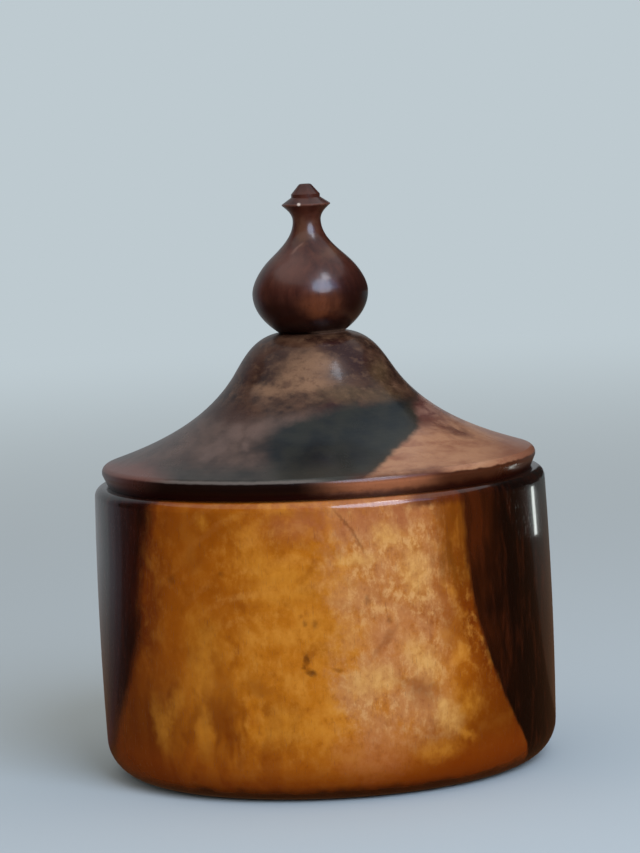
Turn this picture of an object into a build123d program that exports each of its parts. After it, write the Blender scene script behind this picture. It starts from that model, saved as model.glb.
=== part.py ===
from build123d import *
from math import cos, radians, sin
import os

# A lidded jar turned from wood on a lathe, in three pieces: a vessel, a lid whose spigot drops into
# the vessel's mouth, and a finial whose tenon is glued into the lid.
# Sizes are in millimetres and slopes in degrees above level. Z is the lathe axis, pointing up, and
# the origin is the middle of the base, on the surface that the jar stands on.

# Vessel, outside: a barrel side with a faint belly, a broad round at the base and a softened rim
vessel_height = 83.1
belly_radius = 65.0
belly_height = 42.0
foot_draw_in = 0.8
rim_draw_in = 0.75
base_round = 10.7
rim_outer_round = 2.9
rim_inner_round = 1.2

# Vessel, underneath: a shallow dish, so that the jar stands on a ring
foot_ring_width = 9.5
dish_depth = 1.5

# Vessel, inside
rim_wall = 9.0
floor_thickness = 10.0
floor_round = 8.0

# Lid, outside: an edge that slants in to the rim, a cove that steepens into the flank, and a crown
lid_height = 41.0
rim_reveal = 3.85
edge_flare = 2.3
edge_height = 5.15
edge_round = 2.0
flank_radius = 22.4
flank_drop = 10.6
cove_slope = 17.5
flank_slope = 58.0
crown_slope = 10.0
crown_margin = 0.7

# Lid, underneath: a spigot in the vessel's mouth, round a domed hollow
spigot_clearance = 0.5
spigot_depth = 8.0
spigot_wall = 7.0
spigot_round = 1.0
hollow_rise = 26.0

# Finial: an onion bulb on a narrow foot, a neck that flares to a thin collar, and a small button.
# Each rise is counted from the feature below it.
foot_radius = 9.3
foot_slope = 35.0
bulb_radius = 16.5
bulb_rise = 11.2
shoulder_radius = 11.4
shoulder_rise = 9.5
shoulder_slope = 44.0
neck_radius = 4.0
neck_rise = 11.0
collar_radius = 6.9
collar_rise = 4.4
collar_slope = 40.0
collar_land = 0.3
button_radius = 4.1
button_rise = 1.9
button_edge = 0.9
tip_radius = 1.6
tip_rise = 2.9
tip_round = 1.0

# Finial's tenon and its socket in the lid, with room for glue around and below
tenon_radius = 5.0
tenon_length = 14.0
tenon_chamfer = 0.8
glue_clearance = 0.1
glue_well = 1.0

# Worked out from the sizes above
base_radius = belly_radius - foot_draw_in
rim_radius = belly_radius - rim_draw_in
mouth_radius = rim_radius - rim_wall
dish_radius = base_radius - base_round - foot_ring_width
seat_height = vessel_height
lid_foot_radius = rim_radius - rim_reveal
crown_height = seat_height + lid_height
spigot_radius = mouth_radius - spigot_clearance
spigot_bottom = seat_height - spigot_depth


def heading(slope):
    """Unit vector that climbs outwards at a slope, or inwards at 180 less the slope."""
    return (cos(radians(slope)), sin(radians(slope)))


def corner(section, radius, height):
    """The section's corner at this radius and height."""
    return section.vertices().sort_by_distance((radius, height))[0]


def make_vessel():
    """Barrel-sided vessel, with a straight bore and a dished base."""
    with BuildPart() as vessel:
        with BuildSketch(Plane.XZ) as section:
            with BuildLine():
                TangentArc((0, dish_depth), (dish_radius, 0), tangent=(1, 0))
                Line((dish_radius, 0), (base_radius, 0))
                ThreePointArc((base_radius, 0), (belly_radius, belly_height), (rim_radius, vessel_height))
                Polyline(
                    (rim_radius, vessel_height),
                    (mouth_radius, vessel_height),
                    (mouth_radius, floor_thickness),
                    (0, floor_thickness),
                    (0, dish_depth),
                )
            make_face()
            fillet(corner(section, base_radius, 0), base_round)
            fillet(corner(section, rim_radius, vessel_height), rim_outer_round)
            fillet(corner(section, mouth_radius, vessel_height), rim_inner_round)
            fillet(corner(section, mouth_radius, floor_thickness), floor_round)
        revolve(axis=Axis.Z)
    return vessel.part


def make_lid():
    """Ogee lid with its spigot, domed hollow and the socket for the finial."""
    edge = (lid_foot_radius + edge_flare, seat_height + edge_height)
    flank = (flank_radius, crown_height - flank_drop)
    crown = (foot_radius + crown_margin, crown_height)
    hollow_radius = spigot_radius - spigot_wall
    hollow_height = spigot_bottom + hollow_rise
    socket_radius = tenon_radius + glue_clearance
    socket_floor = crown_height - tenon_length - glue_well
    with BuildPart() as lid:
        with BuildSketch(Plane.XZ) as section:
            with BuildLine():
                TangentArc((0, hollow_height), (hollow_radius, spigot_bottom), tangent=(1, 0))
                Polyline(
                    (hollow_radius, spigot_bottom),
                    (spigot_radius, spigot_bottom),
                    (spigot_radius, seat_height),
                    (lid_foot_radius, seat_height),
                    edge,
                )
                Spline(
                    edge,
                    flank,
                    crown,
                    tangents=(
                        heading(180 - cove_slope),
                        heading(180 - flank_slope),
                        heading(180 - crown_slope),
                    ),
                )
                Polyline(
                    crown,
                    (socket_radius, crown_height),
                    (socket_radius, socket_floor),
                    (0, socket_floor),
                    (0, hollow_height),
                )
            make_face()
            fillet(corner(section, *edge), edge_round)
            fillet(corner(section, spigot_radius, spigot_bottom), spigot_round)
        revolve(axis=Axis.Z)
    return lid.part


def make_finial():
    """Onion finial with its tenon, drawn as one flowing line from the foot to the collar."""
    bulb_height = crown_height + bulb_rise
    shoulder_height = bulb_height + shoulder_rise
    neck_height = shoulder_height + neck_rise
    collar_height = neck_height + collar_rise
    collar_top = collar_height + collar_land
    button_height = collar_top + button_rise
    button_top = button_height + button_edge
    tip_height = button_top + tip_rise
    tenon_bottom = crown_height - tenon_length
    with BuildPart() as finial:
        with BuildSketch(Plane.XZ) as section:
            with BuildLine():
                Polyline(
                    (0, tenon_bottom),
                    (tenon_radius, tenon_bottom),
                    (tenon_radius, crown_height),
                    (foot_radius, crown_height),
                )
                Spline(
                    (foot_radius, crown_height),
                    (bulb_radius, bulb_height),
                    (shoulder_radius, shoulder_height),
                    (neck_radius, neck_height),
                    (collar_radius, collar_height),
                    tangents=(
                        heading(foot_slope),
                        heading(90),
                        heading(180 - shoulder_slope),
                        heading(90),
                        heading(collar_slope),
                    ),
                )
                Polyline(
                    (collar_radius, collar_height),
                    (collar_radius, collar_top),
                    (button_radius, button_height),
                    (button_radius, button_top),
                    (tip_radius, tip_height),
                    (0, tip_height),
                    (0, tenon_bottom),
                )
            make_face()
            fillet(corner(section, tip_radius, tip_height), tip_round)
            chamfer(corner(section, tenon_radius, tenon_bottom), tenon_chamfer)
        revolve(axis=Axis.Z)
    return finial.part


os.makedirs("parts", exist_ok=True)
export_step(make_vessel(), "parts/vessel.step")
export_step(make_lid(), "parts/lid.step")
export_step(make_finial(), "parts/finial.step")
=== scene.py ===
from math import cos, pi, radians, sin

import bpy
from mathutils import Matrix, Vector


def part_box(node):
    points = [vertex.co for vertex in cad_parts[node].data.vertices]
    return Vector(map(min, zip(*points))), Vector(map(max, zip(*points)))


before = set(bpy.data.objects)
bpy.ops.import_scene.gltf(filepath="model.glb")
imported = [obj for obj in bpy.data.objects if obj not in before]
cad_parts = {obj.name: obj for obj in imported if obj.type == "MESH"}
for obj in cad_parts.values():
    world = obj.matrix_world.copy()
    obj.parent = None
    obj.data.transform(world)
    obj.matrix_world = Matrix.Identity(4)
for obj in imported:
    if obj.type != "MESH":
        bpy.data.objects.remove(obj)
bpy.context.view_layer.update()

# Looks for a turned wooden jar: three woods, a pale floor, soft studio light and the camera.
#
# The woods are painted in millimetres in the part's own frame: x to the right, y away from the
# front and z up. Their colours are written as screen values from 0 to 255. The two numbers in a
# step are where a thing starts and where it is full, on a ruler of those millimetres or of a noise.

millimetres = 1000  # in a metre


def top_of(node):
    """Height of the top of a CAD node in millimetres."""
    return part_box(node)[1].z * millimetres


# Heights and radii on the jar, in millimetres
rim = top_of("vessel")  # the lid's seat
lid_edge = rim + 4.9  # the lid's widest edge, between its skirt and the slanted band below it
crown = top_of("lid")  # the finial's seat
bulb = crown + 11.2  # where the finial is widest
neck = crown + 31.7  # where the finial is narrowest
collar = crown + 36.1  # the underside of the finial's thin collar
collar_top = collar + 0.3
bore_radius = 55.25
band_radius = 60.4  # the foot of the lid's slanted band
foot_radius = 9.3  # the finial's foot


def screen(red, green, blue):
    """Shader colour for a screen colour."""
    def linear(value):
        value = value / 255
        return value / 12.92 if value <= 0.04045 else ((value + 0.055) / 1.055) ** 2.4
    return (linear(red), linear(green), linear(blue), 1.0)


class Value:
    """A number that varies over a surface. Arithmetic on it adds nodes to its graph."""

    def __init__(self, graph, socket):
        self.graph = graph
        self.socket = socket

    def __add__(self, other):
        return self.graph.math("ADD", self, other)

    def __sub__(self, other):
        return self.graph.math("SUBTRACT", self, other)

    def __rsub__(self, other):
        return self.graph.math("SUBTRACT", other, self)

    def __mul__(self, other):
        return self.graph.math("MULTIPLY", self, other)

    __radd__ = __add__
    __rmul__ = __mul__


class Graph:
    """Builds the node graph of a material or of the world."""

    def __init__(self, owner):
        owner.use_nodes = True
        self.nodes = owner.node_tree.nodes
        self.links = owner.node_tree.links
        self.nodes.clear()

    def add(self, kind, **settings):
        node = self.nodes.new("ShaderNode" + kind)
        for name, setting in settings.items():
            setattr(node, name, setting)
        return node

    def put(self, socket, value):
        """Links a value to an input, or writes a plain number, colour or vector there."""
        if isinstance(value, Value):
            value = value.socket
        if isinstance(value, bpy.types.NodeSocket):
            self.links.new(value, socket)
        else:
            socket.default_value = value

    def math(self, operation, first, second=0.0):
        node = self.add("Math", operation=operation)
        self.put(node.inputs[0], first)
        self.put(node.inputs[1], second)
        return Value(self, node.outputs[0])

    def wave(self, value, length):
        """Waves from -1 to 1, one for each such length of the value."""
        return self.math("SINE", value * (2 * pi / length))

    def vector(self, operation, first, second=None, scale=None):
        node = self.add("VectorMath", operation=operation)
        self.put(node.inputs[0], first)
        if second is not None:
            self.put(node.inputs[1], second)
        if scale is not None:
            self.put(node.inputs["Scale"], scale)
        return node.outputs["Value" if operation == "LENGTH" else "Vector"]

    def from_middle(self):
        """Distance from the object's own origin in metres."""
        return Value(self, self.vector("LENGTH", self.add("TexCoord").outputs["Object"]))

    def step(self, value, start, end, low=0.0, high=1.0):
        """Smooth step from low, where the value is at start, to high, where it is at end."""
        node = self.add("MapRange", interpolation_type="SMOOTHSTEP")
        for name, number in zip(("Value", "From Min", "From Max", "To Min", "To Max"),
                                (value, start, end, low, high)):
            self.put(node.inputs[name], number)
        return Value(self, node.outputs["Result"])

    def blend(self, amount, first, second, mode="MIX"):
        """Colour that goes from the first to the second as the amount goes from 0 to 1."""
        first_colour, second_colour, result = 6, 7, 2  # the node's sockets for colours
        node = self.add("Mix", data_type="RGBA", blend_type=mode)
        self.put(node.inputs["Factor"], amount)
        self.put(node.inputs[first_colour], first)
        self.put(node.inputs[second_colour], second)
        return node.outputs[result]

    def layered(self, colour, *layers):
        """The colour under layers of others. Each layer is an amount from 0 to 1 and a colour."""
        for amount, tint in layers:
            colour = self.blend(amount, colour, tint)
        return colour


class Wood(Graph):
    """Graph of a wood, which knows the place on the part in millimetres."""

    def __init__(self, material):
        super().__init__(material)
        coordinates = self.add("TexCoord")
        self.place = self.vector("SCALE", coordinates.outputs["Object"], scale=millimetres)
        split = self.add("SeparateXYZ")
        self.put(split.inputs[0], self.place)
        self.x, self.y, self.z = [Value(self, socket) for socket in split.outputs]

    def radius(self):
        """Distance from the lathe axis."""
        return self.math("SQRT", self.x * self.x + self.y * self.y)

    def noise(self, size, detail=3.0, roughness=0.5, distortion=0.0, seed=0.0, place=None):
        """Noise from 0 to 1 with lumps of this size. Three sizes stretch it along X, Y and Z."""
        place = self.place if place is None else place
        if isinstance(size, tuple):
            place = self.vector("DIVIDE", place, size)
            size = 1.0
        elsewhere = (seed * 37.1, seed * 11.3, seed * 23.9)
        node = self.add("TexNoise")
        self.put(node.inputs["Vector"], self.vector("ADD", place, elsewhere))
        self.put(node.inputs["Scale"], 1.0 / size)
        self.put(node.inputs["Detail"], detail)
        self.put(node.inputs["Roughness"], roughness)
        self.put(node.inputs["Distortion"], distortion)
        return Value(self, node.outputs[0])

    def wobble(self, size, reach, seed=0.0):
        """The place moved about by noise, so that what is drawn with it has a natural edge."""
        elsewhere = (seed * 51.7, 0, 0)
        node = self.add("TexNoise")
        self.put(node.inputs["Vector"], self.vector("ADD", self.place, elsewhere))
        self.put(node.inputs["Scale"], 1.0 / size)
        self.put(node.inputs["Detail"], 2.0)
        centred = self.vector("SUBTRACT", node.outputs["Color"], (0.5, 0.5, 0.5))
        return self.vector("ADD", self.place, self.vector("SCALE", centred, scale=reach))

    def mark(self, place, centre, size, lean=0.0, soft=0.6):
        """1 inside an ellipsoid that leans by so many degrees in the front view, 0 outside it."""
        node = self.add("Mapping", vector_type="TEXTURE")
        self.put(node.inputs["Vector"], place)
        self.put(node.inputs["Location"], centre)
        self.put(node.inputs["Rotation"], (0.0, radians(lean), 0.0))
        self.put(node.inputs["Scale"], size)
        distance = Value(self, self.vector("LENGTH", node.outputs[0]))
        return self.step(distance, 1.0 + soft, 1.0 - soft)

    def marked(self, colour, marks, tint, strength, place, soft, texture=None):
        """The colour with a group of marks on it, broken up by a texture if there is one."""
        for centre, size, lean in marks:
            amount = self.mark(place, centre, size, lean, soft)
            if texture is not None:
                amount = amount * texture
            colour = self.blend(amount * strength, colour, tint)
        return colour

    def pores(self, width, length, start, seed):
        """Fine pores, drawn out along the grain: 1 in a pore and 0 beside it. A lower start of the
        step makes them denser."""
        full = 0.74
        return self.step(self.noise((width, width, length), detail=2.0, seed=seed), start, full)

    def relief(self, spacing, pore, unevenness):
        """Height in millimetres: rings left by the lathe tool, pores, and a slight unevenness."""
        ring_depth, pore_depth, swell = 0.003, 0.02, 0.05
        return self.wave(self.z, spacing) * ring_depth - pore_depth * pore + swell * unevenness


# Marks on the front of this vessel: centre and half sizes in millimetres, and lean in degrees
pale_marks = (
    ((25.4, -59.8, 38.2), (3.3, 6.0, 6.8), -36),
    ((24.5, -60.0, 62.3), (3.2, 6.0, 6.5), -8),
    ((17.4, -62.2, 72.7), (3.4, 6.0, 3.0), 20),
    ((9.0, -64.1, 66.6), (5.0, 6.0, 1.5), 0),
    ((11.5, -63.9, 33.5), (6.0, 6.0, 3.6), -10),
    ((32.0, -56.6, 21.2), (3.0, 6.0, 4.2), -20),
    ((30.5, -57.2, 25.3), (1.2, 6.0, 1.2), 0),
)
golden_marks = (
    ((-6.7, -64.5, 60.0), (12.0, 6.0, 5.5), 0),
    ((-16.5, -62.5, 66.0), (7.0, 6.0, 3.2), 25),
    ((2.0, -64.9, 46.0), (8.0, 6.0, 6.0), 0),
    ((-12.5, -63.6, 22.0), (8.0, 6.0, 5.0), 0),
    ((-32.4, -55.7, 77.9), (1.6, 6.0, 1.8), 0),
    ((-35.4, -54.4, 35.6), (3.2, 6.0, 5.5), 10),
    ((-47.0, -44.4, 21.0), (2.0, 6.0, 7.0), -12),
    ((-43.0, -48.0, 26.0), (1.8, 6.0, 8.0), 28),
    ((-34.5, -54.8, 20.5), (2.0, 6.0, 7.0), 0),
    ((-33.5, -55.8, 45.0), (5.5, 6.0, 7.0), 0),
    ((29.0, -58.0, 12.5), (6.0, 6.0, 2.6), 0),
    ((36.6, -53.2, 16.0), (1.2, 6.0, 3.0), -50),
    ((37.5, -52.8, 24.0), (2.6, 6.0, 3.0), 0),
)
# Rosy marks: partly the wood's tone and partly a painted sheen
rosy_tone_and_sheen_marks = (
    ((12.0, -63.8, 14.0), (9.0, 6.0, 6.0), 0),
    ((5.0, -64.0, 77.0), (14.0, 6.0, 3.6), 0),
    ((18.0, -62.0, 44.0), (9.0, 6.0, 7.0), 0),
)
dark_marks = (
    ((-29.0, -58.0, 29.0), (3.8, 6.0, 11.0), -6),
    ((-40.5, -50.0, 20.0), (3.2, 6.0, 10.0), 8),
    ((-18.6, -62.2, 32.0), (4.0, 6.0, 1.8), 15),
    ((23.2, -60.6, 31.5), (6.0, 6.0, 1.7), 18),
    ((15.5, -63.1, 43.8), (1.0, 6.0, 5.0), 40),
    ((36.0, -54.0, 73.0), (3.4, 6.0, 9.0), 0),
    ((31.5, -56.6, 76.0), (1.2, 6.0, 6.0), 0),
    ((-35.1, -54.3, 67.5), (2.6, 6.0, 3.4), 20),
    ((-33.0, -55.9, 48.4), (2.2, 6.0, 1.8), 0),
    ((-36.5, -53.7, 41.3), (2.2, 6.0, 2.8), 0),
    ((25.5, -59.8, 29.0), (4.0, 6.0, 3.6), 0),
    # This one is painted shade under the lid's overhang, high on the left
    ((-34.0, -55.0, 76.5), (12.0, 9.0, 5.0), 0),
    ((34.5, -55.0, 47.0), (3.5, 6.0, 6.0), 0),
    ((44.0, -47.7, 27.0), (3.0, 6.0, 6.0), -35),
    ((-33.5, -55.5, 15.0), (3.0, 6.0, 4.0), 0),
)
pits = (
    ((-6.0, -64.7, 40.2), (0.8, 2.0, 1.5), 10),
    ((-4.9, -64.8, 36.8), (1.4, 2.0, 0.8), 20),
    ((-6.6, -64.7, 38.2), (0.5, 2.0, 0.6), 0),
)
flecks = (
    ((-3.1, -64.8, 49.7), (0.8, 2.0, 1.0), 20),
    ((-5.8, -64.7, 50.0), (0.5, 2.0, 0.7), 0),
    ((11.4, -63.9, 55.6), (0.7, 2.0, 1.3), 0),
    ((17.1, -62.6, 49.7), (0.7, 2.0, 0.8), 0),
    ((6.4, -64.1, 76.6), (0.35, 2.0, 4.2), -38),
    ((9.6, -63.9, 71.4), (0.35, 2.0, 3.0), -30),
    ((-27.9, -58.5, 63.9), (0.7, 2.0, 0.8), 0),
    ((-41.6, -49.7, 61.7), (1.0, 2.0, 1.4), 20),
    ((2.5, -64.9, 37.1), (1.4, 2.0, 0.5), 10),
)


def heartwood_depth(wood):
    """How far a place lies behind the heartwood's front, negative in the sapwood, and the same
    with more waves in it, for the growth rings. The log was bent, so the heartwood reaches furthest
    to the front at the height of its apex and falls back below it."""
    x, y, z = wood.x, wood.y, wood.z
    half_width = 45.0
    reach = 48.75  # in front of the lathe axis, at the apex
    side = x * (1 / half_width)  # -1 at the left border of the sapwood and 1 at the right one
    apex = 67.5 - 7.5 * side
    below = wood.math("MAXIMUM", apex - z, 0.0)
    bend = 0.0063 + 0.0008 * side
    front = bend * below * below - 3.25 * side - reach
    drift = wood.noise(22.0, detail=2.0) - 0.5
    shiver = wood.noise((2.0, 2.0, 7.0), detail=3.0, seed=1.0) - 0.5
    shoulder = wood.step(z, 42.0, 60.0, 0.0, 2.9) - wood.step(z, 70.0, 80.0, 0.0, 1.3)
    shoulder = shoulder * wood.step(x, -30.0, -44.0)
    depth = y - front - shoulder + 3.0 * drift + 1.6 * shiver
    rings = y - front + 9.0 * drift + 1.0 * shiver
    return depth, rings


def heartwood(wood, depth, rings):
    """Nearly black wood with reddish streaks, browner in its first millimetres and low on the left."""
    x, y, z = wood.x, wood.y, wood.z
    streak = wood.noise((3.2, 3.2, 15.0), detail=5.0, roughness=0.6, seed=2.0)
    bloom = wood.noise(26.0, detail=2.0, seed=3.0)
    margin = wood.step(depth, 13.0, 0.0) * wood.step(bloom, 0.3, 0.6) * wood.step(z, 18.0, 60.0)
    ring_spacing = 4.3
    ring = wood.wave(rings, ring_spacing)
    tawny = wood.noise((5.0, 5.0, 22.0), detail=4.0, roughness=0.6, seed=4.0)
    low_left = wood.step(z + 0.6 * y + 24.0 * (tawny - 0.5), 14.0, -10.0) * wood.step(x, -30.0, -48.0)
    return wood.layered(
        screen(15, 3, 1),
        (wood.step(streak, 0.46, 0.76), screen(54, 18, 4)),
        (margin * wood.step(x, 0.0, 30.0) * 0.85, screen(76, 28, 3)),
        (margin * wood.step(x, -20.0, -40.0) * 0.7, screen(58, 13, 2)),
        (wood.step(ring, 0.2, 1.0, 0.0, 0.3), screen(12, 3, 1)),
        (low_left * wood.step(tawny, 0.2, 0.65, 0.55, 0.95), screen(108, 56, 12)),
    )


def golden_ground(wood, depth, sway):
    """Deep orange beside the heartwood, and golden further in."""
    x = wood.x
    border = wood.step(x, -16.0, 30.0, 21.0, 15.0) + wood.step(x, 34.0, 44.0, 0.0, 9.0)
    inward = wood.math("DIVIDE", wood.step(x, -16.0, 30.0, 14.0, 7.0) * sway - depth, border)
    return wood.layered(
        screen(104, 38, 1),
        (wood.step(inward, -0.05, 0.4), screen(156, 78, 4)),
        (wood.step(inward, 0.35, 1.1), screen(188, 108, 18)),
    )


def golden_clouds(wood, colour, sway, fleece):
    """Light and dark clouds, calmer on the left."""
    lively = 1.0 - wood.step(wood.x + 10.0 * sway, -18.0, -38.0, 0.0, 0.7)
    cloud = wood.noise((7.0, 7.0, 9.0), detail=4.0, seed=6.0, place=wood.wobble(16.0, 14.0))
    return wood.layered(
        colour,
        (wood.step(cloud, 0.48, 0.72, 0.0, 0.75) * lively, screen(206, 130, 40)),
        (wood.step(cloud, 0.5, 0.28, 0.0, 0.75), screen(146, 72, 3)),
        (wood.step(fleece, 0.46, 0.74, 0.0, 0.5) * lively, screen(212, 140, 52)),
        (wood.step(fleece, 0.5, 0.25, 0.0, 0.5) * lively, screen(136, 64, 1)),
    )


def rosy_tone_and_sheen(wood, colour, sway, fleece, blush):
    """Rosy tan right of centre, partly the wood's own tone and partly a painted sheen, and a reddish
    painted sheen near the rim.
    """
    x, z = wood.x, wood.z
    edge = x + 16.0 * sway + 24.0 * (blush - 0.5)
    rosy = wood.step(edge, -1.0, 8.0) * wood.step(x + 8.0 * sway, 37.0, 27.0) * wood.step(z, 7.0, 25.0)
    rim_sheen = wood.step(z, 68.0, 78.0) * wood.step(x, -24.0, -4.0) * wood.step(x, 34.0, 20.0)
    return wood.layered(
        colour,
        (rosy * wood.step(blush, 0.32, 0.6, 0.2, 0.9), screen(186, 120, 68)),
        (rosy * wood.step(fleece, 0.45, 0.68, 0.0, 0.75), screen(214, 158, 98)),
        (rosy * wood.step(fleece, 0.46, 0.26, 0.0, 0.6), screen(146, 78, 34)),
        (rim_sheen * wood.step(blush, 0.3, 0.65) * 0.7, screen(154, 82, 46)),
    )


def growth_layers(wood, colour, sway, fleece):
    """Arched growth layers, plain only high in the middle."""
    x, z = wood.x, wood.z
    spacing, arch_radius, left_of_middle = 7.0, 35.0, 8.0
    bow = x + left_of_middle
    band = wood.wave(z + bow * bow * (1 / (2 * arch_radius)) + 9.0 * sway, spacing)
    high = wood.step(z, 40.0, 60.0, 0.25, 1.0) * wood.step(x, 26.0, 8.0, 0.3, 1.0)
    high = high * wood.step(x, -42.0, -26.0)
    patchy = high * wood.step(wood.noise(15.0, seed=9.0), 0.35, 0.65)
    patchy = patchy * wood.step(fleece, 0.35, 0.62, 0.35, 1.0)
    return wood.layered(
        colour,
        (wood.step(band, 0.1, 1.0) * patchy * 0.5, screen(150, 78, 10)),
        (wood.step(band, -0.1, -1.0) * patchy * 0.3, screen(208, 142, 66)),
    )


def low_flames(wood, colour, sway):
    """Flames low on the left."""
    x = wood.x
    flame = wood.noise((6.0, 6.0, 20.0), detail=2.5, seed=10.0, place=wood.wobble(14.0, 8.0))
    low = wood.step(wood.z, 46.0, 20.0) * wood.step(x, -4.0, -26.0)
    return wood.layered(
        colour,
        (wood.step(flame, 0.42, 0.66) * low * 0.7, screen(108, 40, 0)),
        (wood.step(flame, 0.44, 0.32) * low * 0.55, screen(178, 94, 10)),
        (wood.step(x + 8.0 * sway, -38.0, -50.0) * low * 0.8, screen(106, 44, 2)),
    )


def deep_borders(wood, colour, sway, blush):
    """A deeper colour high and low on the right, painted shade darkening round the base, and a deeper
    colour at the rim on the right.
    """
    x, z = wood.x, wood.z
    streaky = wood.noise((1.5, 1.5, 12.0), detail=3.0, seed=11.0)
    high_right = wood.step(x + 10.0 * (blush - 0.5), 27.0, 36.0) * wood.step(z, 50.0, 64.0)
    low_right = wood.step(0.9 * x - z + 12.0 * sway, -6.0, 26.0)
    # Painted shade, darker towards the base
    shade_at_base = wood.step(z + 4.0 * sway, 22.0, 2.0, 0.0, 0.9)
    at_rim = wood.step(z + 3.0 * (blush - 0.5), rim - 4.6, rim - 2.1) * wood.step(x, 20.0, 28.0)
    return wood.layered(
        colour,
        (high_right * wood.step(streaky, 0.3, 0.6, 0.4, 0.9), screen(112, 58, 6)),
        (low_right * 0.85, screen(106, 44, 0)),
        (shade_at_base, screen(126, 48, 0)),
        (at_rim * 0.85, screen(78, 26, 6)),
    )


def sapwood(wood, depth):
    """Golden wood, deep orange beside the heartwood, darker at the base as painted shade, and rosy tan
    right of centre that is partly a painted sheen.
    """
    # Broad, fine and middling noise that its features share
    sway = wood.noise(20.0, detail=3.0, seed=5.0) - 0.5
    fleece = wood.noise((2.4, 2.4, 3.2), detail=5.0, roughness=0.7, seed=7.0)
    blush = wood.noise((6.0, 6.0, 8.0), detail=6.0, roughness=0.7, seed=8.0)
    colour = golden_ground(wood, depth, sway)
    colour = golden_clouds(wood, colour, sway, fleece)
    colour = rosy_tone_and_sheen(wood, colour, sway, fleece, blush)
    colour = growth_layers(wood, colour, sway, fleece)
    colour = low_flames(wood, colour, sway)
    colour = deep_borders(wood, colour, sway, blush)

    # Marks that this piece of wood has; the rosy ones are partly a painted sheen, and the wide dark one
    # high on the left is painted shade under the lid
    loose = wood.wobble(3.5, 6.0)
    close = wood.wobble(2.4, 3.4, seed=2.0)
    tight = wood.wobble(1.4, 1.6, seed=1.0)
    texture = wood.step(fleece, 0.3, 0.62, 0.45, 1.0)
    for marks, tint, strength, place, soft in (
        (rosy_tone_and_sheen_marks, screen(180, 106, 62), 0.4, loose, 0.8),
        (dark_marks, screen(118, 50, 2), 0.45, close, 0.75),
        (golden_marks, screen(202, 128, 36), 0.5, close, 0.75),
        (pale_marks, screen(216, 158, 84), 0.7, close, 0.85),
        (flecks, screen(98, 44, 6), 0.5, tight, 0.8),
        (pits, screen(88, 38, 2), 0.85, tight, 0.6),
    ):
        colour = wood.marked(colour, marks, tint, strength, place, soft, texture)
    return colour


def vessel_paint(wood):
    """Golden sapwood in front, and behind it the dark heartwood of a curved log."""
    depth, rings = heartwood_depth(wood)
    blur = wood.step(wood.x, -30.0, 30.0, 2.4, 0.8)
    border = wood.step(wood.math("DIVIDE", depth, blur), -1.0, 1.0)
    colour = wood.blend(border, sapwood(wood, depth), heartwood(wood, depth, rings))

    # Painted shade: a dark line in the corner under the lid's overhang, and painted contact shade on the
    # lowest part of the base
    radius = wood.radius()
    shade_under_lid = wood.step(wood.z, rim - 0.7, rim - 0.1) * wood.step(radius, band_radius + 3.0, band_radius + 1.8)
    base_shade = wood.step(wood.z - 4.0 * wood.noise(6.0, detail=3.0, seed=12.0), 3.5, 0.0)
    colour = wood.layered(colour, (shade_under_lid * 0.85, screen(30, 12, 6)), (base_shade * 0.85, screen(44, 14, 3)))

    pore = wood.pores(0.28, 3.0, 0.62, seed=13.0)
    colour = wood.blend(pore * 0.3, colour, screen(110, 70, 40), mode="MULTIPLY")
    smear = wood.noise(16.0, detail=3.0, seed=14.0)
    inside = wood.step(radius, bore_radius + 0.55, bore_radius - 0.25)
    roughness = 0.18 + 0.12 * smear + 0.3 * inside + 0.06 * pore
    height = wood.relief(0.9, pore, wood.noise(9.0, detail=2.0, seed=15.0))
    return colour, roughness, height


# Marks on the front of this lid, written as the vessel's are
lid_tan_marks = (
    ((-0.5, -20.5, 116.5), (6.5, 6.0, 3.4), 0),
    ((-5.5, -22.9, 111.9), (5.5, 6.0, 2.8), 0),
    ((0.6, -24.2, 110.8), (4.2, 6.0, 2.0), 0),
    ((-13.5, -21.0, 109.6), (4.5, 6.0, 1.6), 10),
)
lid_brown_marks = (
    ((-19.5, -8.0, 116.0), (5.0, 8.0, 4.0), 0),
    ((-14.0, -15.5, 116.0), (3.0, 6.0, 4.0), 20),
    ((-9.8, -15.8, 119.3), (2.2, 5.0, 2.0), 0),
    ((-24.0, -21.0, 103.6), (6.5, 8.0, 2.6), 20),
    ((-29.3, -8.0, 104.0), (6.0, 9.0, 3.0), 20),
    ((-11.8, -19.9, 112.4), (1.0, 2.0, 0.8), 0),
    ((-7.6, -22.3, 111.8), (0.9, 2.0, 0.7), 0),
    ((-3.3, -22.7, 112.6), (0.8, 2.0, 0.7), 0),
    ((12.5, -18.5, 113.5), (3.5, 6.0, 3.6), 0),
)
lid_plum_marks = (
    ((7.2, -15.5, 120.3), (5.2, 6.0, 2.2), 0),
    ((11.0, -16.5, 117.4), (4.8, 6.0, 3.4), 0),
    ((14.6, -16.0, 114.6), (3.2, 5.0, 3.2), -20),
    ((5.0, -27.0, 104.6), (4.0, 5.0, 0.9), 0),
)
lid_olive_marks = (
    ((18.2, -14.0, 112.8), (3.6, 6.0, 3.4), -20),
    ((19.5, -19.8, 106.6), (6.0, 8.0, 2.2), 0),
    ((8.5, -25.0, 108.0), (7.0, 7.0, 2.2), 0),
    ((25.0, -30.5, 98.0), (2.2, 6.0, 3.0), 30),
)
lid_pale_streaks = (
    ((-27.0, -32.5, 96.4), (2.0, 5.0, 4.2), 15),
    ((-22.8, -29.3, 99.2), (2.0, 5.0, 3.2), 15),
    ((-17.2, -32.8, 99.3), (2.4, 5.0, 2.4), 20),
    ((-30.5, -35.8, 94.0), (1.6, 5.0, 2.4), 15),
    ((-20.0, -37.0, 96.4), (1.2, 3.0, 1.4), 0),
)
lid_red_streaks = (
    ((28.2, -24.0, 99.4), (4.2, 6.0, 2.4), 10),
    ((38.0, -19.0, 96.0), (6.0, 6.0, 0.9), 22),
    ((28.0, -13.6, 103.6), (3.0, 7.0, 2.6), 0),
)


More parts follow.
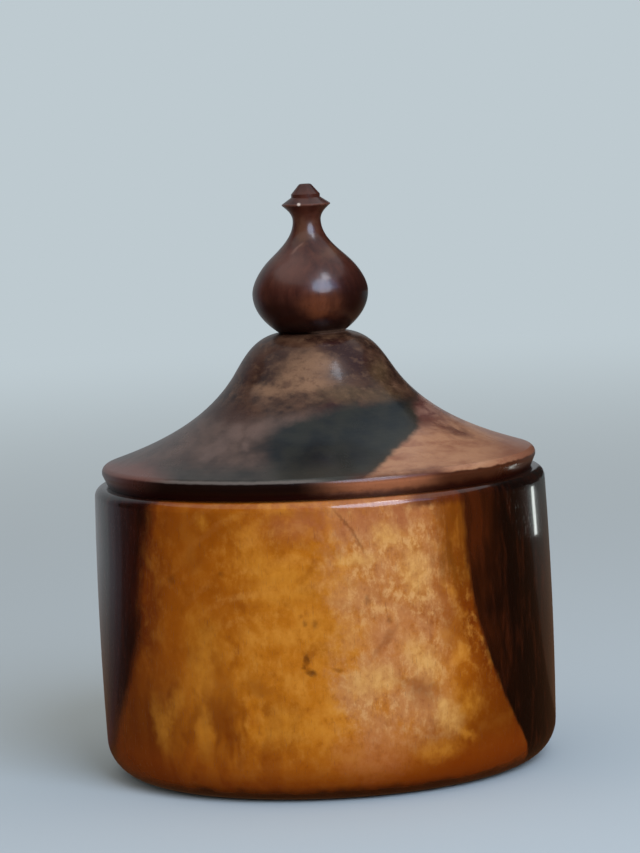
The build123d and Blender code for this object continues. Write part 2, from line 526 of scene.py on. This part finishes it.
def crown_and_skirt(wood, loose, drift, fret):
    """Mottled brown crown, and left of the skirt broad soft streaks with a rosy corner at the edge."""
    z = wood.z
    mottle = wood.noise((5.5, 5.5, 3.6), detail=6.0, roughness=0.66, seed=23.0)
    colour = wood.blend(wood.step(mottle, 0.3, 0.66), screen(40, 21, 15), screen(86, 58, 42))
    streak = wood.noise((6.0, 12.0, 6.0), detail=6.0, roughness=0.6, seed=24.0)
    skirt = wood.blend(wood.step(streak, 0.3, 0.7), screen(66, 50, 43), screen(96, 74, 64))
    corner = wood.step(wood.x + 0.35 * wood.y + 8.0 * drift, -52.0, -62.0)
    skirt = wood.blend(corner * 0.85, skirt, screen(116, 74, 64))
    colour = wood.blend(wood.step(z + 5.0 * drift + 3.0 * fret, 106.0, 101.0), colour, skirt)

    # Marks that this piece of wood has
    texture = wood.step(mottle, 0.25, 0.5, 0.6, 1.0)
    for marks, tint, strength in (
        (lid_tan_marks, screen(138, 101, 74), 0.75),
        (lid_brown_marks, screen(58, 32, 24), 0.6),
        (lid_plum_marks, screen(44, 16, 16), 0.9),
        (lid_olive_marks, screen(84, 63, 40), 0.6),
        (lid_pale_streaks, screen(118, 94, 84), 0.45),
    ):
        colour = wood.marked(colour, marks, tint, strength, loose, 0.7, texture)

    grit = wood.noise((3.0, 3.0, 1.9), detail=4.0, roughness=0.65, seed=36.0)
    on_crown = wood.step(z, 104.0, 108.0)
    return wood.layered(
        colour,
        (on_crown * wood.step(grit, 0.5, 0.32) * 0.5, screen(62, 36, 24)),
        (on_crown * wood.step(grit, 0.5, 0.7) * 0.25, screen(132, 98, 72)),
    )


def stained(wood, colour, drift, fret):
    """The stain: nearly black in front, and a grey wash along the edge on the left."""
    x, y, z = wood.x, wood.y, wood.z
    wash = wood.step(wood.noise((8.0, 12.0, 5.0), detail=4.0, seed=25.0), 0.35, 0.65)
    grey = wood.blend(wash, screen(38, 37, 33), screen(58, 52, 46))
    low = wood.step(z + 3.0 * drift + 1.5 * fret, lid_edge + 5.0, lid_edge + 2.0)
    low = low * wood.step(x + 0.35 * y + 8.0 * drift, -62.0, -52.0) * wood.step(y + 20.0 * drift, 20.0, 0.0)

    black = wood.blend(wash, screen(12, 19, 22), screen(32, 33, 28))
    paler = wood.step(z + 4.0 * drift, lid_edge + 6.0, lid_edge + 0.5, 0.0, 0.8)
    black = wood.blend(paler, black, screen(60, 56, 48))
    rise = wood.math("MINIMUM", 0.26 * x, 3.0)
    top = wood.step(z - rise + 5.0 * drift + 2.5 * fret, 104.4, 100.8)
    front = wood.step(x + 0.3 * (z - 96.0) + 16.0 * drift + 5.0 * fret, -20.0, -10.0)
    front = front * wood.step(y + 24.0 * drift + 10.0 * fret, 14.0, -6.0)
    return wood.layered(colour, (low * 0.9, grey), (top * front * 0.95, black))


def tan_side(wood, colour, loose, drift, fret):
    """Tan wood right of a slanting line, which runs on round the back with a ragged border."""
    x, y, z = wood.x, wood.y, wood.z
    cloud = wood.noise((9.0, 9.0, 2.6), detail=5.0, roughness=0.6, distortion=0.4, seed=26.0)
    tan = wood.blend(wood.step(cloud, 0.28, 0.6), screen(146, 94, 68), screen(174, 124, 91))
    tan = wood.blend(wood.step(x + 8.0 * drift, 42.0, 60.0, 0.0, 0.75), tan, screen(126, 74, 54))
    shoulder = wood.blend(wood.step(cloud, 0.35, 0.6), screen(100, 62, 54), screen(142, 102, 86))
    tan = wood.blend(wood.step(z + 9.0 * drift + 3.0 * fret, 94.0, 101.0), tan, shoulder)
    tan = wood.marked(tan, lid_red_streaks, screen(80, 40, 34), 0.7, loose, 0.7)

    # The line slants to the right as it climbs, and stands upright from its bend up
    line_foot, line_slant, line_bend = 16.0, 1.6, 28.2
    line = wood.math("MINIMUM", line_foot + line_slant * (z - (lid_edge + 2.0)), line_bend)
    behind = wood.math("MAXIMUM", y + 12.0, 0.0)
    ragged = behind * (1 / 20) * (wood.noise(18.0, detail=4.0, seed=35.0) - 0.5)
    past = x - line + 4.0 * drift + 3.0 * fret + 8.0 * ragged + 0.006 * behind * behind
    fringe = wood.step(past, -5.0, -1.0) * wood.step(z + 4.0 * drift, 107.0, 103.0)
    right = wood.step(past, -1.8, 1.6) * wood.step(z + 6.0 * drift + 3.0 * ragged, 106.5, 103.5)
    # Painted shade on the rounding just above the lid's edge, in front on the right
    edge_shade = wood.step(z + 1.5 * fret, lid_edge + 2.0, lid_edge - 0.2)
    edge_shade = edge_shade * wood.step(x, 4.0, 14.0) * wood.step(x, 38.0, 31.0)
    return wood.layered(
        colour,
        (fringe * 0.7, screen(52, 42, 30)),
        (right, tan),
        (edge_shade * 0.9, screen(80, 38, 24)),
    )


def slanted_band(wood, colour, drift, fret):
    """Band below the lid's edge, which faces down: dark, partly as painted shade, and reddish tan only in
    front on the right, with painted shade on its right end and at its foot by the rim.
    """
    x, z = wood.x, wood.z
    reddish = x - 2.0 + 5.0 * drift + 2.0 * fret
    upper = wood.step(z, lid_edge - 1.4, lid_edge - 0.2) * wood.step(x, 0.0, 10.0)
    band = wood.layered(
        wood.blend(wood.step(reddish, -8.0, 12.0), screen(24, 8, 5), screen(164, 98, 64)),
        (upper * 0.75, screen(92, 48, 34)),
        # Painted shade on the band's right end, and below at its foot by the rim
        (wood.step(x + 10.0 * drift, 22.0, 36.0, 0.0, 0.9), screen(58, 22, 6)),
        (wood.step(x, -42.0, -56.0, 0.0, 0.8), screen(84, 46, 38)),
        (wood.step(z + 2.0 * fret, rim + 2.7, rim + 0.3, 0.0, 0.85), screen(38, 5, 1)),
    )
    lip = z + wood.step(x, 28.0, 44.0) * (0.4 + 1.2 * fret)
    return wood.blend(wood.step(lip, lid_edge + 0.2, lid_edge - 0.4), colour, band)


def painted_edge_highlight(wood, colour, fret):
    """Painted highlight along the lid's edge on the left."""
    rough = wood.z + 0.5 * fret
    line = wood.step(rough, lid_edge - 0.4, lid_edge) * wood.step(rough, lid_edge + 0.8, lid_edge + 0.3)
    line = line * wood.step(wood.x, -50.0, -40.0) * wood.step(wood.x, 6.0, -6.0)
    return wood.blend(line * 0.5, colour, screen(126, 112, 104))


def foot_shade_and_highlight(wood, colour, fret):
    """Ring round the finial's foot: painted shade on the left and a painted highlight on the right."""
    ring = wood.step(wood.radius() + 1.2 * fret, foot_radius + 1.9, foot_radius + 0.5)
    ring = ring * wood.step(wood.z, crown - 0.9, crown - 0.2)
    foot_ring_light = wood.blend(wood.step(wood.x + 4.0 * fret, 0.0, 3.0), screen(26, 12, 8), screen(122, 92, 78))
    return wood.blend(ring * 0.7, colour, foot_ring_light)


def lid_paint(wood):
    """Mottled brown crown, a dark stain across the front of the skirt, and tan wood on the right."""
    # A wobbly place, and broad and fine noise from -0.5 to 0.5, that its features share
    loose = wood.wobble(4.0, 4.0)
    drift = wood.noise(14.0, detail=3.0, seed=21.0) - 0.5
    fret = wood.noise(3.5, detail=4.0, roughness=0.6, seed=22.0) - 0.5
    colour = crown_and_skirt(wood, loose, drift, fret)
    colour = stained(wood, colour, drift, fret)
    colour = tan_side(wood, colour, loose, drift, fret)
    colour = slanted_band(wood, colour, drift, fret)
    colour = painted_edge_highlight(wood, colour, fret)
    colour = foot_shade_and_highlight(wood, colour, fret)

    pore = wood.pores(0.3, 2.2, 0.6, seed=27.0)
    colour = wood.blend(pore * 0.3, colour, screen(110, 74, 50), mode="MULTIPLY")
    smear = wood.noise(12.0, detail=3.0, seed=28.0)
    inside = wood.step(wood.z, rim + 0.1, rim - 0.1)
    roughness = 0.22 + 0.16 * smear + 0.3 * inside + 0.06 * pore
    height = wood.relief(0.8, pore, wood.noise(7.0, detail=2.0, seed=29.0))
    return colour, roughness, height


def finial_wear_and_highlights(wood, colour, glow):
    """A scratch on the finial, with painted highlights: a pale line round the collar's edge, a glint on it,
    and a pale ring at the foot.
    """
    z = wood.z
    collar_highlight = wood.step(z, collar - 0.2, collar - 0.05) * wood.step(z, collar_top + 0.25, collar_top + 0.05)
    scratch = wood.mark(wood.wobble(4.0, 1.6), (-3.1, -7.1, 148.3), (0.35, 3.0, 2.4), 54, 0.5)
    collar_glint = wood.mark(wood.place, (-2.0, -6.3, 160.6), (0.45, 1.2, 0.4))
    foot_ring_light = wood.step(z, crown + 0.9, crown + 0.4) * wood.step(wood.x + 3.0 * glow, 0.0, 4.0)
    return wood.layered(
        colour,
        (collar_highlight * 0.35, screen(128, 84, 68)),
        (scratch * 0.4, screen(134, 96, 80)),
        (collar_glint * 0.9, screen(226, 206, 190)),
        (foot_ring_light * 0.6, screen(142, 110, 90)),
    )


def finial_paint(wood):
    """Dark reddish brown, closer in the grain than the other two woods, and paler at the neck."""
    z = wood.z
    streak = wood.noise((2.2, 2.2, 11.0), detail=5.0, roughness=0.6, distortion=0.4, seed=31.0)
    glow = wood.noise(7.0, detail=3.0, seed=32.0)
    slim = wood.step(z, neck - 12.8, neck - 7.8) * wood.step(z, neck + 3.2, neck - 0.8)
    # Painted shade under the bulb's widest part and low near the foot
    under = wood.step(z + 3.0 * glow, bulb + 3.7, bulb - 2.3)
    foot = wood.step(z + 2.0 * glow, crown + 5.9, crown + 1.9, 0.0, 0.8)
    ember = wood.mark(wood.wobble(4.0, 3.0), (3.2, -15.2, 132.6), (6.0, 8.0, 3.6))
    rosy = wood.mark(wood.place, (-6.0, -10.0, 143.5), (5.0, 8.0, 5.0), 0.0, 0.7)
    # Painted shade on the bulb's lower right
    lower_right_shade = wood.mark(wood.place, (13.0, -9.0, 133.0), (6.5, 9.0, 7.0), 0.0, 0.7)
    colour = wood.layered(
        wood.blend(wood.step(streak, 0.3, 0.72), screen(56, 21, 13), screen(78, 37, 25)),
        (wood.step(glow, 0.48, 0.7, 0.0, 0.35), screen(88, 46, 32)),
        (slim * wood.step(glow, 0.35, 0.65) * 0.5, screen(104, 68, 46)),
        (under * 0.82, screen(32, 6, 3)),
        (ember * wood.step(streak, 0.3, 0.6, 0.5, 0.9), screen(108, 56, 32)),
        (rosy * 0.45, screen(112, 74, 62)),
        (lower_right_shade * 0.75, screen(28, 6, 4)),
        (foot, screen(26, 7, 3)),
    )
    colour = finial_wear_and_highlights(wood, colour, glow)

    pore = wood.pores(0.2, 1.6, 0.6, seed=33.0)
    colour = wood.blend(pore * 0.35, colour, screen(110, 70, 50), mode="MULTIPLY")
    roughness = 0.26 + 0.12 * glow + 0.05 * pore
    height = 0.03 * wood.noise(5.0, detail=2.0, seed=34.0) - 0.012 * pore
    return colour, roughness, height


def dress(node, paint, coat, coat_roughness, specular):
    """Gives a CAD node its polished wood. paint gives the wood's colour, roughness and height."""
    material = bpy.data.materials.new(node + "_wood")
    wood = Wood(material)
    colour, roughness, height = paint(wood)
    bump = wood.add("Bump")
    wood.put(bump.inputs["Strength"], 1.0)
    wood.put(bump.inputs["Distance"], 1 / millimetres)
    wood.put(bump.inputs["Height"], height)
    shader = wood.add("BsdfPrincipled")
    wood.put(shader.inputs["Base Color"], colour)
    wood.put(shader.inputs["Roughness"], roughness)
    wood.put(shader.inputs["Normal"], bump.outputs[0])
    wood.put(shader.inputs["Coat Weight"], coat)
    wood.put(shader.inputs["Coat Roughness"], coat_roughness)
    wood.put(shader.inputs["Specular IOR Level"], specular)
    wood.put(wood.add("OutputMaterial").inputs["Surface"], shader.outputs[0])
    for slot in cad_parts[node].material_slots:
        slot.material = material


def towards(azimuth, elevation, distance):
    """Point seen from the middle of the jar's foot. Azimuths go from the front towards the right."""
    flat = distance * cos(radians(elevation))
    return Vector((flat * sin(radians(azimuth)), -flat * cos(radians(azimuth)),
                   distance * sin(radians(elevation))))


def lamp(name, azimuth, elevation, distance, width, height, brightness, colour, target):
    """Soft oval lamp. Brightness is its radiance, where the plain background's is about 0.6."""
    area = pi / 4 * width * height
    light = bpy.data.lights.new(name, "AREA")
    light.shape = "ELLIPSE"
    light.size = width
    light.size_y = height
    light.energy = brightness * pi * area
    light.color = colour
    piece = bpy.data.objects.new(name, light)
    piece.location = towards(azimuth, elevation, distance)
    piece.rotation_euler = (Vector(target) - piece.location).to_track_quat("-Z", "Y").to_euler()
    piece.visible_camera = False
    bpy.context.scene.collection.objects.link(piece)


def surroundings(backdrop):
    """World that looks like the plain backdrop and lights the scene with a warmer soft light."""
    light_colour, light_strength = (1.0, 0.97, 0.92, 1.0), 0.58
    world = bpy.data.worlds.new("surroundings")
    bpy.context.scene.world = world
    graph = Graph(world)
    path = graph.add("LightPath")
    shown = graph.math("MAXIMUM", path.outputs["Is Camera Ray"], path.outputs["Is Glossy Ray"])
    shown = graph.math("MAXIMUM", shown, path.outputs["Is Transmission Ray"])
    soft = graph.add("Background")
    graph.put(soft.inputs["Color"], light_colour)
    graph.put(soft.inputs["Strength"], light_strength)
    plain = graph.add("Background")
    graph.put(plain.inputs["Color"], backdrop)
    mix = graph.add("MixShader")
    graph.put(mix.inputs[0], shown)
    graph.put(mix.inputs[1], soft.outputs[0])
    graph.put(mix.inputs[2], plain.outputs[0])
    graph.put(graph.add("OutputWorld").inputs["Surface"], mix.outputs[0])


def studio_floor(backdrop):
    """Pale floor that turns into the backdrop away from the jar."""
    reach = 30.0
    fade_start, fade_end = 0.35, 1.6
    mesh = bpy.data.meshes.new("floor")
    mesh.from_pydata([(-reach, -reach, 0), (reach, -reach, 0), (reach, reach, 0), (-reach, reach, 0)],
                     [], [(0, 1, 2, 3)])
    floor = bpy.data.objects.new("floor", mesh)
    bpy.context.scene.collection.objects.link(floor)
    material = bpy.data.materials.new("floor")
    graph = Graph(material)
    diffuse = graph.add("BsdfDiffuse")
    graph.put(diffuse.inputs["Color"], screen(188, 198, 203))
    glow = graph.add("Emission")
    graph.put(glow.inputs["Color"], backdrop)
    mix = graph.add("MixShader")
    graph.put(mix.inputs[0], graph.step(graph.from_middle(), fade_start, fade_end))
    graph.put(mix.inputs[1], diffuse.outputs[0])
    graph.put(mix.inputs[2], glow.outputs[0])
    graph.put(graph.add("OutputMaterial").inputs["Surface"], mix.outputs[0])
    mesh.materials.append(material)


def card(name, azimuths, near, far, colour, far_colour=None):
    """Glowing sheet that only the polish reflects, between two azimuths and two (radius, height)
    edges in metres. Its colour may change from the near edge to the far one."""
    steps = 24
    start, end = azimuths
    points = []
    for index in range(steps + 1):
        azimuth = radians(start + (end - start) * index / steps)
        for radius, height in (near, far):
            points.append((radius * sin(azimuth), -radius * cos(azimuth), height))
    faces = [(2 * index, 2 * index + 1, 2 * index + 3, 2 * index + 2) for index in range(steps)]
    mesh = bpy.data.meshes.new(name)
    mesh.from_pydata(points, [], faces)
    piece = bpy.data.objects.new(name, mesh)
    bpy.context.scene.collection.objects.link(piece)
    material = bpy.data.materials.new(name)
    graph = Graph(material)
    shade = (*colour, 1.0)
    if far_colour:
        along = graph.step(graph.from_middle(), Vector(near).length, Vector(far).length)
        shade = graph.blend(along, shade, (*far_colour, 1.0))
    glow = graph.add("Emission")
    graph.put(glow.inputs["Color"], shade)
    graph.put(graph.add("OutputMaterial").inputs["Surface"], glow.outputs[0])
    mesh.materials.append(material)
    piece.visible_camera = False
    piece.visible_diffuse = False
    piece.visible_transmission = False
    piece.visible_shadow = False


def wall(name, azimuths, radius, bottom, top, colour):
    """Card that stands upright around the jar."""
    card(name, azimuths, (radius, bottom), (radius, top), colour)


def ground(name, azimuths, near, far, colour, far_colour=None, height=0.0004):
    """Card that lies a hair above the floor, between two radii."""
    card(name, azimuths, (near, height), (far, height), colour, far_colour)


def reflections():
    """What the polish reflects: dark in front, paler behind and on the left, and three highlights."""
    foot, near_wall, mid_ground, far_wall = 0.05, 0.6, 1.2, 2.5
    grey = (0.27, 0.285, 0.30)
    mauve = (0.21, 0.19, 0.215)
    plum = (0.17, 0.13, 0.15)
    slate = (0.10, 0.14, 0.15)

    # Walls
    wall("dark_card", (-124, 172), far_wall, 0.0, 2.2, (0.024, 0.020, 0.018))
    wall("grey_card", (165, 228), near_wall, 0.0, 1.2, grey)
    wall("mauve_card", (228, 236), near_wall, 0.0, 1.2, mauve)
    wall("plum_card", (236, 243), near_wall, 0.0, 1.2, plum)

    # Ground, most of which shades into what lies beyond it
    ground("brown_card", (-104, 125), foot, far_wall, (0.060, 0.027, 0.013))
    ground("brown_card_right", (125, 165), foot, mid_ground, (0.12, 0.06, 0.032), slate)
    ground("slate_card_right", (125, 165), mid_ground, far_wall, slate, (0.19, 0.16, 0.14))
    ground("brown_card_behind", (165, 228), foot, near_wall, (0.10, 0.05, 0.025), grey)
    ground("brown_card_mauve", (228, 236), foot, near_wall, (0.09, 0.045, 0.03), mauve)
    ground("brown_card_plum", (236, 243), foot, near_wall, (0.08, 0.035, 0.03), plum)
    ground("brown_card_left", (236, 250), foot, far_wall, (0.07, 0.03, 0.024), (0.24, 0.13, 0.14), 0.0003)
    ground("red_card_left", (250, 256), foot, far_wall, (0.06, 0.024, 0.015), (0.12, 0.05, 0.05))

    # Highlights
    wall("bright_card", (36, 56), 1.5, 1.66, 2.55, (9.5, 10.2, 11.4))
    wall("haze_card", (6, 62), 1.6, 0.75, 1.75, (0.25, 0.8, 1.8))
    wall("slim_card", (80.8, 83.6), 0.074, 0.0635, 0.0775, (4.6, 5.0, 4.8))


def camera():
    """Camera of the photograph, fitted to the jar's outline."""
    place = Vector((0.0, -1.02375, 0.19825))
    down, aside, roll = radians(5.66), radians(0.05), radians(-2.83)
    picture_height = 853
    focal_pixels = 3600
    ahead = Vector((sin(aside) * cos(down), cos(aside) * cos(down), -sin(down)))
    right = Vector((cos(aside), -sin(aside), 0.0))
    up = right.cross(ahead)
    rolled_right = right * cos(roll) + up * sin(roll)
    rolled_up = up * cos(roll) - right * sin(roll)
    lens = bpy.data.cameras.new("camera")
    lens.sensor_width = 36.0
    lens.lens = focal_pixels / picture_height * lens.sensor_width
    lens.clip_start = 0.01
    piece = bpy.data.objects.new("camera", lens)
    turn = Matrix((rolled_right, rolled_up, -ahead)).transposed()
    piece.matrix_world = Matrix.Translation(place) @ turn.to_4x4()
    bpy.context.scene.collection.objects.link(piece)
    bpy.context.scene.camera = piece


camera()
backdrop = screen(190, 202, 208)
surroundings(backdrop)
studio_floor(backdrop)
lamp("key", azimuth=27, elevation=34, distance=1.5, width=0.96, height=1.13, brightness=7.0,
     colour=(0.68, 0.80, 1.0), target=(0, 0, 0.1))
reflections()
dress("vessel", vessel_paint, coat=0.75, coat_roughness=0.08, specular=0.15)
dress("lid", lid_paint, coat=0.3, coat_roughness=0.14, specular=0.15)
dress("finial", finial_paint, coat=0.5, coat_roughness=0.18, specular=0.25)

bpy.context.scene.view_settings.view_transform = "Standard"
